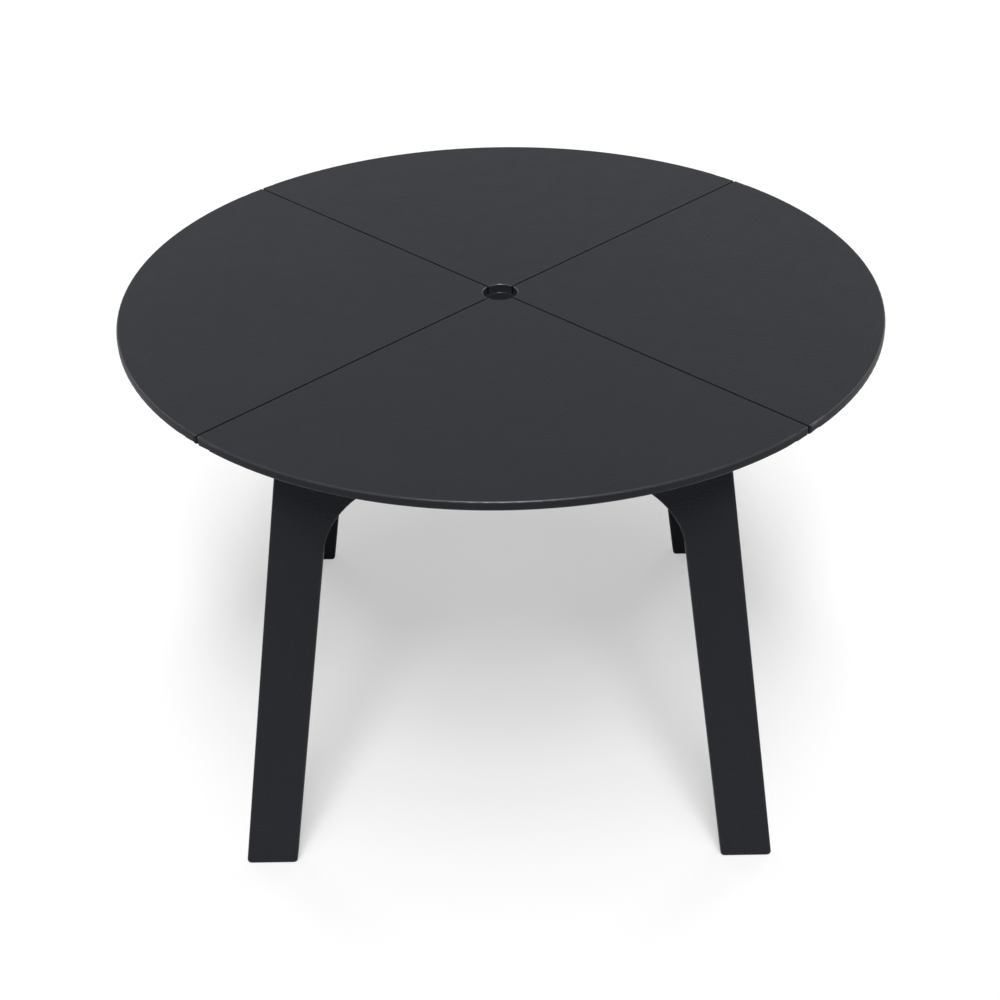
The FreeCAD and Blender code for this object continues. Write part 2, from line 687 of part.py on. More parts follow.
def make_cleat(label, turn):
    """Strip screwed to the inner face of an arch, through which the panel above it is
    screwed from below."""
    body = new_body(label)
    inner = arch_inner_face - size["cleat_thickness"]
    outline = new_sketch(body, "Profile", "XZ_Plane", inner)
    end = rail_inner_face - size["cleat_end_gap"]
    bottom = underside - size["cleat_height"]
    draw_polygon(outline, [(-end, bottom), (end, bottom), (end, underside), (-end, underside)])
    pad(body, outline, size["cleat_thickness"])
    low = bottom.number
    round_edges(body, "LowerEdge", size["board_edge_round"],
                lambda edge: runs_along(edge, X_WAY) and lies_at(edge, Z_WAY, low)
                and abs(middle(edge).y + inner.number) < TOUCH)
    sideways = new_sketch(body, "SideScrews", "XZ_Plane", inner)
    draw_circles(sideways, [(across, cleat_level) for across in cleat_side_places], screw_hole)
    cut(body, sideways, "SideScrewHoles")
    upward = new_sketch(body, "TopScrews", "XY_Plane", bottom)
    draw_circles(upward, [(across, -cleat_middle) for across in cleat_top_places], screw_hole)
    cut(body, upward, "TopScrewHoles")
    turn_body(body, turn)
    return keep(body)


make_cleat("front_cleat", 0)
make_cleat("rear_cleat", 2 * QUARTER_TURN)


def tied_cylinder(name, diameter, length, start=nil):
    """Cylinder along +Z from the start height."""
    cylinder = doc.addObject("Part::Cylinder", name)
    bind(cylinder, "Radius", diameter / 2)
    bind(cylinder, "Height", length)
    bind(cylinder, "Placement.Base.z", start)
    return cylinder


def headed(name, head, shank):
    """Head and shank of a screw or bolt as one piece: it points up, and z = 0 is where
    its head seats."""
    fastener = doc.addObject("Part::Fuse", name)
    fastener.Base = head
    fastener.Tool = shank
    doc.recompute()
    return fastener


def pan_screw(name, length):
    head = tied_cylinder(name + "Head", size["screw_head_diameter"], size["screw_head_height"],
                         -size["screw_head_height"])
    return headed(name, head, tied_cylinder(name + "Shank", size["screw_diameter"], length))


def flush_screw(name, length):
    """Screw whose flat head sits in its own depth: z = 0 is the top of the head."""
    head = tied_cylinder(name + "Head", size["screw_head_diameter"], size["screw_head_height"])
    return headed(name, head, tied_cylinder(name + "Shank", size["screw_diameter"], length))


def connector_bolt(name):
    head = tied_cylinder(name + "Head", size["bolt_head_diameter"], size["bolt_head_height"],
                         -size["bolt_head_height"])
    return headed(name, head, tied_cylinder(name + "Shank", size["bolt_diameter"], size["bolt_length"]))


def barrel_nut(name):
    """Round nut that lies across its bolt: length along Z, threaded hole along X."""
    barrel = tied_cylinder(name + "Barrel", size["nut_diameter"], size["nut_length"], -size["nut_length"] / 2)
    thread = doc.addObject("Part::Cylinder", name + "Thread")
    thread.Placement = FreeCAD.Placement(FreeCAD.Vector(0, 0, 0), FreeCAD.Rotation(Y_WAY, QUARTER_TURN))
    bind(thread, "Radius", size["bolt_diameter"] / 2 + size["thread_clearance"])
    bind(thread, "Height", size["nut_diameter"])
    bind(thread, "Placement.Base.x", -size["nut_diameter"] / 2)
    nut = doc.addObject("Part::Cut", name)
    nut.Base = barrel
    nut.Tool = thread
    doc.recompute()
    return nut


def spread(label, pattern, places):
    """A node of separate like pieces: the pattern piece copied to each placement."""
    group = doc.addObject("Part::Feature", label)
    group.Label = label
    copies = []
    for place in places:
        copy = pattern.Shape.copy()
        copy.Placement = place.multiply(copy.Placement)
        copies.append(copy)
    group.Shape = Part.makeCompound(copies)
    return keep(group)


def placed(across, back, up, rotation):
    return FreeCAD.Placement(FreeCAD.Vector(amount(across), amount(back), amount(up)), rotation)


def turned(place, degrees):
    """The same placement carried round the centre of the table."""
    return FreeCAD.Placement(FreeCAD.Vector(0, 0, 0), FreeCAD.Rotation(Z_WAY, degrees)).multiply(place)


UPRIGHT = FreeCAD.Rotation()
POINTING_DOWN = FreeCAD.Rotation(X_WAY, 2 * QUARTER_TURN)
POINTING_BACK = FreeCAD.Rotation(X_WAY, -QUARTER_TURN)
POINTING_FRONT = FreeCAD.Rotation(X_WAY, QUARTER_TURN)
POINTING_LEFT = FreeCAD.Rotation(Y_WAY, -QUARTER_TURN)
HALF_TURNS = (0, 2 * QUARTER_TURN)
QUARTER_TURNS = (0, QUARTER_TURN, 2 * QUARTER_TURN, 3 * QUARTER_TURN)

# Bolts: two through each arch into each end of each rail, one through each rail into
# each end of each beam. They point inwards, and their heads lie on the outer faces.
corner_bolts = [placed(across, -arch_face, level, POINTING_BACK)
                for across in (rail_middle, -rail_middle) for level in (upper_bolt_level, lower_bolt_level)]
side_bolts = [placed(rail_face, back, beam_bolt_level, POINTING_LEFT) for back in (beam_middle, -beam_middle)]
spread("frame_bolts", connector_bolt("FrameBolt"),
       [turned(place, turn) for place in corner_bolts + side_bolts for turn in HALF_TURNS])

# Barrel nuts: across the rails near their ends, and across the beams near theirs.
rail_nut_line = arch_inner_face - size["nut_setback"]
beam_nut_line = rail_inner_face + size["dado_depth"] - size["nut_setback"]
across_rail = FreeCAD.Rotation(Y_WAY, QUARTER_TURN).multiply(FreeCAD.Rotation(Z_WAY, QUARTER_TURN))
rail_nuts = [placed(rail_middle, back, level, across_rail)
             for back in (rail_nut_line, -rail_nut_line) for level in (upper_bolt_level, lower_bolt_level)]
beam_nuts = [placed(across, -beam_middle, beam_bolt_level, POINTING_FRONT)
             for across in (beam_nut_line, -beam_nut_line)]
spread("barrel_nuts", barrel_nut("BarrelNut"),
       [turned(place, turn) for place in rail_nuts + beam_nuts for turn in HALF_TURNS])

# Seam screws: up through the battens, and through the hub plate into each panel tip.
seam_places = [placed(across, back, plate_level, UPRIGHT)
               for across, back in panel_seam_spots() + [(nil, -size["tip_screw_radius"])]]
spread("seam_screws", pan_screw("SeamScrew", size["underplate_thickness"] + size["screw_bite"]),
       [turned(place, turn) for place in seam_places for turn in QUARTER_TURNS])

# Cleat screws: sideways into the arches and up into the front and rear panels.
cleat_bottom = underside - size["cleat_height"]
cleat_inner_face = arch_inner_face - size["cleat_thickness"]
side_places = [placed(across, -cleat_inner_face, cleat_level, POINTING_FRONT) for across in cleat_side_places]
top_places = [placed(across, -cleat_middle, cleat_bottom, UPRIGHT) for across in cleat_top_places]
spread("cleat_side_screws", pan_screw("CleatSideScrew", size["cleat_thickness"] + size["screw_bite"]),
       [turned(place, turn) for place in side_places for turn in HALF_TURNS])
spread("cleat_top_screws", pan_screw("CleatTopScrew", size["cleat_height"] + size["screw_bite"]),
       [turned(place, turn) for place in top_places for turn in HALF_TURNS])

# Rail screws: up from the counterbores through the rails into the side panels.
rail_screw_length = size["rail_depth"] - size["counterbore_depth"] + size["screw_bite"]
rail_places = [placed(rail_middle, back, rail_bottom + size["counterbore_depth"], UPRIGHT)
               for back in rail_screw_places]
spread("rail_screws", pan_screw("RailScrew", rail_screw_length),
       [turned(place, turn) for place in rail_places for turn in HALF_TURNS])

# Hub screws: down through the hub plate into the beams, flush with the plate's top.
hub_places = [placed(across, back, underside, POINTING_DOWN) for across, back in hub_screw_spots()]
spread("hub_screws", flush_screw("HubScrew", size["underplate_thickness"] + size["hub_screw_bite"]),
       hub_places)


def check_document():
    """Stop if a feature failed or a piece is not a set of valid closed solids."""
    for item in doc.Objects:
        if "Invalid" in item.State or "Error" in item.State:
            raise ValueError(f"{item.Label} failed: {item.State}")
        if item.TypeId == "Sketcher::SketchObject" and not item.FullyConstrained:
            raise ValueError(f"{item.Label} is not fully constrained")
    for node in nodes:
        if node.Shape.isNull() or not node.Shape.isValid() or not node.Shape.Solids:
            raise ValueError(f"{node.Label} has no valid shape")


doc.recompute()
check_document()
os.makedirs("parts", exist_ok=True)
for node in nodes:
    node.Shape.exportStep(f"parts/{node.Label}.step")
    print(f"{node.Label}: {len(node.Shape.Solids)} solids, {node.Shape.Volume / 1000:.1f} cm3")
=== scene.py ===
import math

import bmesh
import bpy
from mathutils import Matrix


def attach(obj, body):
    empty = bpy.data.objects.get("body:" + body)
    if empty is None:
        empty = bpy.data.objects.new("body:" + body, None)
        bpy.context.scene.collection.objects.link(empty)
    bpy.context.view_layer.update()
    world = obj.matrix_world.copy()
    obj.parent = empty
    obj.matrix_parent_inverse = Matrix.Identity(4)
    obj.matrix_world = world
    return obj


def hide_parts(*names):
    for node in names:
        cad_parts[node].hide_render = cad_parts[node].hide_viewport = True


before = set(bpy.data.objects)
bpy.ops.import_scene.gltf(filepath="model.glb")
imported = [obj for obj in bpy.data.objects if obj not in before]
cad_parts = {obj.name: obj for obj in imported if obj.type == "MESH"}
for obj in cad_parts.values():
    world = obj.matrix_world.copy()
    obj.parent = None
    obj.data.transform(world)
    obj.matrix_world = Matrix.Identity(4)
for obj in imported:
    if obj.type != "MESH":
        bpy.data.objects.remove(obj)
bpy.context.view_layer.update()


# Leg boards. Each arch is one board routed from 25 mm charcoal polyethylene sheet:
# pebbled on its two pressed faces, smoother where the cutter has run round its edges.
# The board's feet stand on the floor, and the side rails are bolted to its inner face.

def add_node(tree, kind, inputs=None, **settings):
    """A shader node with its settings, and its sockets set or linked by name or number."""
    node = tree.nodes.new("ShaderNode" + kind)
    for name, value in settings.items():
        setattr(node, name, value)
    for socket, value in (inputs or {}).items():
        if isinstance(value, bpy.types.NodeSocket):
            tree.links.new(value, node.inputs[socket])
        else:
            node.inputs[socket].default_value = value
    return node


def math_node(tree, operation, first, second=0.0):
    return add_node(tree, "Math", {0: first, 1: second}, operation=operation).outputs[0]


def ramp(tree, value, limits, results=(0.0, 1.0)):
    """A value carried smoothly from one result to the other as it passes its limits."""
    inputs = {"Value": value, "From Min": limits[0], "From Max": limits[1],
              "To Min": results[0], "To Max": results[1]}
    return add_node(tree, "MapRange", inputs, interpolation_type="SMOOTHSTEP").outputs[0]


def noise(tree, place, size, detail, stretch=(1, 1, 1)):
    """Noise with features of that size in metres, longer along an axis by its stretch."""
    scale = [1 / (size * part) for part in stretch]
    spot = add_node(tree, "Mapping", {"Vector": place, "Scale": scale}).outputs[0]
    inputs = {"Vector": spot, "Scale": 1.0, "Detail": detail, "Roughness": 0.5}
    return add_node(tree, "TexNoise", inputs).outputs["Fac"]


def blend_colour(tree, share, first, second):
    return add_node(tree, "Mix", {0: share, 6: first, 7: second}, data_type="RGBA").outputs[2]


def bump(tree, height, depth, strength, under=None):
    """A surface with that height on it, on top of the bump that lies under it."""
    inputs = {"Height": height, "Distance": depth, "Strength": strength}
    if under is not None:
        inputs["Normal"] = under
    return add_node(tree, "Bump", inputs).outputs[0]


MOST_OF_NOISE = (0.3, 0.7)

# How squarely a surface looks along the sheet's thickness, from 0 to 1: the limits where a
# cut edge ends, where its rounding begins, and where the rounding ends in the pressed face.
CUT_EDGE_ENDS = (0.9, 0.98)
ROUNDING_BEGINS = (0.15, 0.5)
ROUNDING_ENDS = (0.96, 0.995)

# The moulded pebbles of the pressed face, with a finer grain on them.
PEBBLE_SIZE = 0.0030
PEBBLE_FLANKS = (0.0, 0.55)
# Painted shade: how far the colour darkens in the hollows between the pebbles.
PEBBLE_HOLLOW_PAINTED_SHADE = 0.18
THICK_PEBBLE_DEPTH = 0.0014
GRAIN_SIZE = 0.0005
GRAIN_SHARE = 0.15
PEBBLE_STRENGTH = 0.8

# The cutter's marks on the edges: chatter that stands across the thickness, and lines
# that run along the edge.
CUTTER_MARK = 0.0007
CUTTER_DEPTH = 0.000012
CUTTER_STRENGTH = 0.8
CHATTER_STRETCH = 30
LINE_STRETCH = 40

# Colours: swirls in the sheet, roundings darkened by painted shade with rubbed patches on them, and fine
# scuffs.
SHEET_DARK = (0.0198, 0.0216, 0.0268, 1)
SHEET_LIGHT = (0.0236, 0.0254, 0.0308, 1)
# The roundings' darker colour is painted shade, which offsets their reflection of the white studio.
ROUNDING_PAINTED_SHADE = (0.0085, 0.0095, 0.0125, 1)
ROUNDING_SHADE_SHARE = 0.75
SHEET_RUBBED = (0.0260, 0.0270, 0.0310, 1)
RUBBED_PATCHES = (0.45, 0.75)
RUBBED_SHARE = 0.35
SWIRL_SIZE = 0.16
PATCH_SIZE = 0.028
SIDE_SHIFT = 0.7
SCUFF_SIZE = 0.0025
SCUFF_STRETCH = (9, 1, 9)
SCUFFED_PARTS = (0.66, 0.74)

FACE_ROUGHNESS = (0.54, 0.57)
EDGE_ROUGHNESS = (0.40, 0.46)
SCUFF_POLISH = 0.04
BURNISHED_COAT = (0.078, 0.098)
BURNISHED_ROUGHNESS = 0.26
BURNISHED_IOR = 4.0
SHEET_SPECULAR = 0.07


def sheet_material(name, thickness_axis, seed, pebble_depth, buffing):
    """Charcoal polyethylene sheet whose thickness lies along one axis (0, 1 or 2). The seed
    shifts its patterns, and buffing is how far its rounded edges shine, from 0 to 1."""
    material = bpy.data.materials.new(name)
    material.use_nodes = True
    tree = material.node_tree
    shader = tree.nodes["Principled BSDF"]
    on_piece = add_node(tree, "TexCoord").outputs["Object"]
    shift = (seed, seed * SIDE_SHIFT, -seed)
    place = add_node(tree, "Mapping", {"Vector": on_piece, "Location": shift}).outputs[0]

    normal = add_node(tree, "SeparateXYZ", {0: add_node(tree, "NewGeometry").outputs["Normal"]})
    facing = math_node(tree, "ABSOLUTE", normal.outputs[thickness_axis])
    cut_edge = ramp(tree, facing, CUT_EDGE_ENDS, (1.0, 0.0))
    rounded = math_node(tree, "MULTIPLY", ramp(tree, facing, ROUNDING_BEGINS),
                        ramp(tree, facing, ROUNDING_ENDS, (1.0, 0.0)))

    cells = {"Vector": place, "Scale": 1 / PEBBLE_SIZE}
    pebbles = add_node(tree, "TexVoronoi", cells, feature="SMOOTH_F1").outputs[0]
    grain = noise(tree, place, GRAIN_SIZE, detail=3)
    across_edge = [1, 1, 1]
    across_edge[thickness_axis] = CHATTER_STRETCH
    chatter = noise(tree, place, CUTTER_MARK, detail=2, stretch=across_edge)
    along_edge = [LINE_STRETCH, LINE_STRETCH, LINE_STRETCH]
    along_edge[thickness_axis] = 1
    cutter_lines = noise(tree, place, CUTTER_MARK, detail=3, stretch=along_edge)
    swirl = noise(tree, place, SWIRL_SIZE, detail=3)
    patches = noise(tree, place, PATCH_SIZE, detail=4)
    scuffs = noise(tree, place, SCUFF_SIZE, detail=2, stretch=SCUFF_STRETCH)

    colour = blend_colour(tree, swirl, SHEET_DARK, SHEET_LIGHT)
    # Painted shade in the pebble hollows.
    hollow_shade = ramp(tree, pebbles, PEBBLE_FLANKS, (0.0, PEBBLE_HOLLOW_PAINTED_SHADE))
    colour = blend_colour(tree, hollow_shade, colour, SHEET_DARK)
    # Painted shade: the roundings are darkened.
    rounding_shade = math_node(tree, "MULTIPLY", rounded, ROUNDING_SHADE_SHARE)
    colour = blend_colour(tree, rounding_shade, colour, ROUNDING_PAINTED_SHADE)
    rubbing = ramp(tree, patches, RUBBED_PATCHES, (0.0, RUBBED_SHARE))
    colour = blend_colour(tree, math_node(tree, "MULTIPLY", rounded, rubbing), colour, SHEET_RUBBED)
    tree.links.new(colour, shader.inputs["Base Color"])

    face_gloss = math_node(tree, "SUBTRACT", ramp(tree, patches, MOST_OF_NOISE, FACE_ROUGHNESS),
                           ramp(tree, scuffs, SCUFFED_PARTS, (0.0, SCUFF_POLISH)))
    edge_gloss = ramp(tree, cutter_lines, MOST_OF_NOISE, EDGE_ROUGHNESS)
    gloss = add_node(tree, "Mix", {0: cut_edge, 2: face_gloss, 3: edge_gloss}, data_type="FLOAT").outputs[0]
    tree.links.new(gloss, shader.inputs["Roughness"])

    pebbled = math_node(tree, "ADD", math_node(tree, "MULTIPLY", pebbles, -1.0),
                        math_node(tree, "MULTIPLY", grain, GRAIN_SHARE))
    pebbled = math_node(tree, "MULTIPLY", pebbled, math_node(tree, "SUBTRACT", 1.0, cut_edge))
    routed = math_node(tree, "MULTIPLY", math_node(tree, "ADD", chatter, cutter_lines), cut_edge)
    surface = bump(tree, pebbled, pebble_depth, PEBBLE_STRENGTH)
    surface = bump(tree, routed, CUTTER_DEPTH, CUTTER_STRENGTH, surface)
    tree.links.new(surface, shader.inputs["Normal"])

    shine = ramp(tree, cutter_lines, MOST_OF_NOISE, [coat * buffing for coat in BURNISHED_COAT])
    tree.links.new(math_node(tree, "MULTIPLY", rounded, shine), shader.inputs["Coat Weight"])
    shader.inputs["Coat Roughness"].default_value = BURNISHED_ROUGHNESS
    shader.inputs["Coat IOR"].default_value = BURNISHED_IOR
    shader.inputs["Specular IOR Level"].default_value = SHEET_SPECULAR
    return material


def dress(node_names, material):
    """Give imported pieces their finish."""
    for node_name in node_names:
        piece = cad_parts[node_name]
        piece.data.materials.clear()
        piece.data.materials.append(material)


leg_sheet = sheet_material("leg_board_sheet", thickness_axis=1, seed=0.13,
                           pebble_depth=THICK_PEBBLE_DEPTH, buffing=0.3)
dress(["front_arch", "rear_arch"], leg_sheet)


# Side rails. Two boards on edge from arch to arch, cut from the same thick sheet,
# lapped over the seam battens and housed for the hub beams.

rail_sheet = sheet_material("side_rail_sheet", thickness_axis=0, seed=0.37,
                            pebble_depth=THICK_PEBBLE_DEPTH, buffing=0.2)
dress(["right_rail", "left_rail"], rail_sheet)


# Hub beams and cleats. The beams are two boards on edge between the side rails, their ends
# let into the rails' housings and their middles stepped down to carry the hub plate. The
# cleats are square strips of the same thick sheet, screwed to the arches' inner faces.

beam_sheet = sheet_material("hub_beam_sheet", thickness_axis=1, seed=0.59,
                            pebble_depth=THICK_PEBBLE_DEPTH, buffing=0.2)
dress(["front_hub_beam", "rear_hub_beam", "front_cleat", "rear_cleat"], beam_sheet)


# Frame bolts. Twelve stainless connector bolts hold the boards together: two through each
# arch into each end of a rail, and one through each rail into each end of a hub beam.
# Each has a wide flat head for a 5 mm hex key, a plain shank and a rolled 8 mm thread.

STEEL_DULL = (0.46, 0.46, 0.45, 1)
STEEL_CLEAN = (0.60, 0.60, 0.59, 1)
STEEL_RUBBED = (0.72, 0.72, 0.71, 1)
STEEL_RUBBED_SHARE = 0.6
RUBBED_EDGES = (0.51, 0.58)
STAIN_SIZE = 0.0035
TURNING_SIZE = 0.00025
TURNING_DEPTH = 0.000015
TURNING_STRENGTH = 0.7
STEEL_ROUGHNESS = (0.27, 0.40)
STEEL_POLISH = 0.05


def steel_material(name):
    """Plain stainless steel, turned, a little dull, and rubbed brighter on its edges."""
    material = bpy.data.materials.new(name)
    material.use_nodes = True
    tree = material.node_tree
    shader = tree.nodes["Principled BSDF"]
    place = add_node(tree, "TexCoord").outputs["Object"]
    stains = noise(tree, place, STAIN_SIZE, detail=3)
    turned = noise(tree, place, TURNING_SIZE, detail=3)
    rubbed = ramp(tree, add_node(tree, "NewGeometry").outputs["Pointiness"], RUBBED_EDGES)
    colour = blend_colour(tree, ramp(tree, stains, MOST_OF_NOISE), STEEL_DULL, STEEL_CLEAN)
    rubbed_share = math_node(tree, "MULTIPLY", rubbed, STEEL_RUBBED_SHARE)
    tree.links.new(blend_colour(tree, rubbed_share, colour, STEEL_RUBBED), shader.inputs["Base Color"])
    gloss = math_node(tree, "SUBTRACT", ramp(tree, turned, MOST_OF_NOISE, STEEL_ROUGHNESS),
                      math_node(tree, "MULTIPLY", rubbed, STEEL_POLISH))
    tree.links.new(gloss, shader.inputs["Roughness"])
    tree.links.new(bump(tree, turned, TURNING_DEPTH, TURNING_STRENGTH), shader.inputs["Normal"])
    shader.inputs["Metallic"].default_value = 1.0
    return material


fastener_steel = steel_material("fastener_stainless")

# Heights that differ by less than ALIKE are the same, and a face looks up where its normal
# rises by more than UPWARDS.
ALIKE = 0.00001
UPWARDS = 0.9


def choose(piece, kind, test):
    """In edit mode, select only the faces, edges or vertices that pass a test."""
    bpy.ops.mesh.select_mode(type=kind)
    bpy.ops.mesh.select_all(action="DESELECT")
    work = bmesh.from_edit_mesh(piece.data)
    for item in {"FACE": work.faces, "EDGE": work.edges, "VERT": work.verts}[kind]:
        if test(item):
            item.select_set(True)
    bmesh.update_edit_mesh(piece.data)


def level_edge(height):
    """A test for edges that lie level at a height."""
    return lambda edge: all(abs(corner.co.z - height) < ALIKE for corner in edge.verts)


def upper_face(height):
    """A test for the face that looks up at a height."""
    return lambda face: face.normal.z > UPWARDS and face.calc_center_median().z > height - ALIKE


def turned_blank(name, radius, low, high, sides=48):
    """Bar along Z, round or of a few sides, left in edit mode."""
    bpy.ops.object.select_all(action="DESELECT")
    bpy.ops.mesh.primitive_cylinder_add(vertices=sides, radius=radius, depth=high - low,
                                        location=(0, 0, (low + high) / 2))
    bpy.ops.object.transform_apply(location=True, rotation=True, scale=True)
    blank = bpy.context.object
    blank.name = name
    bpy.ops.object.mode_set(mode="EDIT")
    return blank


def draw_out(blank, radius, level, steps):
    """Draw the blank's upper face out into a shank, through steps of radius and height."""
    choose(blank, "FACE", upper_face(level))
    bpy.ops.mesh.inset(thickness=radius - steps[0][0])
    radius = steps[0][0]
    for next_radius, height in steps:
        bpy.ops.mesh.extrude_region_move(TRANSFORM_OT_translate={"value": (0, 0, height - level)})
        shrink = next_radius / radius
        bpy.ops.transform.resize(value=(shrink, shrink, 1), center_override=(0, 0, height))
        radius, level = next_radius, height


def combine(piece, other, operation):
    """Add another solid to a piece or cut it out, and leave only the piece."""
    joining = piece.modifiers.new(other.name, "BOOLEAN")
    joining.operation = operation
    joining.object = other
    joining.solver = "EXACT"
    bpy.ops.object.select_all(action="DESELECT")
    piece.select_set(True)
    bpy.context.view_layer.objects.active = piece
    bpy.ops.object.modifier_apply(modifier=joining.name)
    bpy.data.objects.remove(other)


STEPS_IN_A_TURN = 20


def add_thread(piece, root, crest, flank, pitch, low, turns):
    """Wind a ridge of V section round the shank from a low level, and fuse it on. The root
    lies inside the shank, and flank is half the ridge's width there."""
    bpy.ops.object.select_all(action="DESELECT")
    bpy.ops.mesh.primitive_circle_add(vertices=4, radius=1, location=(root, 0, low),
                                      rotation=(math.pi / 2, 0, 0))
    bpy.ops.transform.resize(value=(crest - root, 1, flank))
    bpy.ops.object.transform_apply(location=True, rotation=True, scale=True)
    ridge = bpy.context.object
    winding = ridge.modifiers.new("winding", "SCREW")
    winding.screw_offset = pitch
    winding.iterations = turns
    winding.steps = winding.render_steps = STEPS_IN_A_TURN
    bpy.ops.object.modifier_apply(modifier="winding")
    bpy.ops.object.mode_set(mode="EDIT")
    choose(ridge, "EDGE", lambda edge: edge.is_boundary)
    bpy.ops.mesh.fill_holes(sides=4)
    bpy.ops.mesh.select_all(action="SELECT")
    bpy.ops.mesh.normals_make_consistent(inside=False)
    bpy.ops.object.mode_set(mode="OBJECT")
    combine(piece, ridge, "UNION")


SMOOTH_ANGLE = math.radians(35)


def set_out(pattern, node_name, places):
    """A copy of the pattern at each place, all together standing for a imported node."""
    copies = []
    for place in places:
        bpy.ops.object.select_all(action="DESELECT")
        pattern.select_set(True)
        bpy.context.view_layer.objects.active = pattern
        bpy.ops.object.duplicate(linked=False)
        copy = bpy.context.object
        copy.matrix_world = place
        bpy.ops.object.transform_apply(location=True, rotation=True, scale=True)
        copies.append(copy)
    bpy.data.objects.remove(pattern)
    bpy.ops.object.select_all(action="DESELECT")
    for copy in copies:
        copy.select_set(True)
    bpy.context.view_layer.objects.active = copies[0]
    bpy.ops.object.join()
    bpy.ops.object.shade_smooth_by_angle(angle=SMOOTH_ANGLE)
    fasteners = bpy.context.object
    fasteners.name = node_name + "_steel"
    fasteners.data.materials.clear()
    fasteners.data.materials.append(fastener_steel)
    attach(fasteners, "root")
    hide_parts(node_name)


def quarter_turns(axis, count):
    return Matrix.Rotation(count * math.pi / 2, 4, axis)


def round_table(places, turns):
    """The same places carried round the middle of the table by quarter turns."""
    return [quarter_turns("Z", turn) @ place for place in places for turn in turns]


def spans(node_name):
    """The lowest and highest x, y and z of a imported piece, as three pairs."""
    corners = [corner.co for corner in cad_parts[node_name].data.vertices]
    return [(min(places), max(places)) for places in zip(*corners)]


# Quarter turns that carry a piece to the other side of the table.
BOTH_ENDS = (0, 2)

# The head, then the plain shank, the core that carries the thread, and the blunt point.
BOLT_HEAD_RADIUS = 0.0085
BOLT_HEAD_THICKNESS = 0.0025
BOLT_HEAD_ROUNDING = 0.0009
BOLT_RADIUS = 0.0040
BOLT_PLAIN_LENGTH = 0.0200
BOLT_STEP = 0.0006
BOLT_CORE_RADIUS = 0.0034
BOLT_POINT_LENGTH = 0.0008
BOLT_POINT_RADIUS = 0.0030
BOLT_LENGTH = 0.0650

BOLT_THREAD_ROOT = 0.0033
BOLT_THREAD_FLANK = 0.00055
BOLT_THREAD_PITCH = 0.00125
BOLT_THREAD_START = 0.0212
BOLT_THREAD_TURNS = 34

# The cutter of the hex socket starts outside the head and ends in a flat cone.
HEX_KEY_RADIUS = 0.005 / math.sqrt(3)
HEX_CUTTER_START = -0.0035
HEX_CUTTER_TOP = 0.0006
HEX_CONE_INSET = 0.0012
HEX_CONE_DEPTH = 0.0006

bolt = turned_blank("connector_bolt", BOLT_HEAD_RADIUS, -BOLT_HEAD_THICKNESS, 0.0)
choose(bolt, "EDGE", level_edge(-BOLT_HEAD_THICKNESS))
bpy.ops.mesh.bevel(offset=BOLT_HEAD_ROUNDING, segments=4)
draw_out(bolt, BOLT_HEAD_RADIUS, 0.0, [
    (BOLT_RADIUS, BOLT_PLAIN_LENGTH),
    (BOLT_CORE_RADIUS, BOLT_PLAIN_LENGTH + BOLT_STEP),
    (BOLT_CORE_RADIUS, BOLT_LENGTH - BOLT_POINT_LENGTH),
    (BOLT_POINT_RADIUS, BOLT_LENGTH),
])
bpy.ops.object.mode_set(mode="OBJECT")
add_thread(bolt, BOLT_THREAD_ROOT, BOLT_RADIUS, BOLT_THREAD_FLANK, BOLT_THREAD_PITCH,
           BOLT_THREAD_START, BOLT_THREAD_TURNS)
socket = turned_blank("hex_socket", HEX_KEY_RADIUS, HEX_CUTTER_START, HEX_CUTTER_TOP, sides=6)
choose(socket, "FACE", upper_face(HEX_CUTTER_TOP))
bpy.ops.mesh.inset(thickness=HEX_CONE_INSET, depth=HEX_CONE_DEPTH)
bpy.ops.object.mode_set(mode="OBJECT")
combine(bolt, socket, "DIFFERENCE")

BOLT_EDGE_DISTANCE = 0.016

rail_inner_face, rail_face = spans("right_rail")[0]
rail_middle = (rail_inner_face + rail_face) / 2
rail_bottom, underside = spans("right_rail")[2]
rail_bolt_levels = (underside - BOLT_EDGE_DISTANCE, rail_bottom + BOLT_EDGE_DISTANCE)
arch_face, arch_inner_face = spans("front_arch")[1]
beam_line = sum(spans("rear_hub_beam")[1]) / 2
plate_level = spans("hub_plate")[2][0]
beam_bolt_level = (plate_level + spans("rear_hub_beam")[2][0]) / 2

bolt_places = [Matrix.Translation((across, arch_face, level)) @ quarter_turns("X", -1)
               for across in (rail_middle, -rail_middle) for level in rail_bolt_levels]
bolt_places += [Matrix.Translation((rail_face, back, beam_bolt_level)) @ quarter_turns("Y", -1)
                for back in (beam_line, -beam_line)]
set_out(bolt, "frame_bolts", round_table(bolt_places, BOTH_ENDS))


# Barrel nuts. Each bolt screws into a short stainless bar that lies across it in a hole in
# the rail or beam: chamfered ends, a cross hole, and a slot that turns it to meet its bolt.

NUT_RADIUS = 0.006
NUT_END = 0.010
NUT_CHAMFER = 0.0006
CROSS_HOLE_RADIUS = 0.0041
CROSS_CUTTER_REACH = 0.008
SLOT_WIDTH = 0.0014
SLOT_DEPTH = 0.0020
SLOT_ROUNDING = 0.0003
SLOT_CUTTER_LENGTH = 0.014
SLOT_CUTTER_HEIGHT = 0.0034

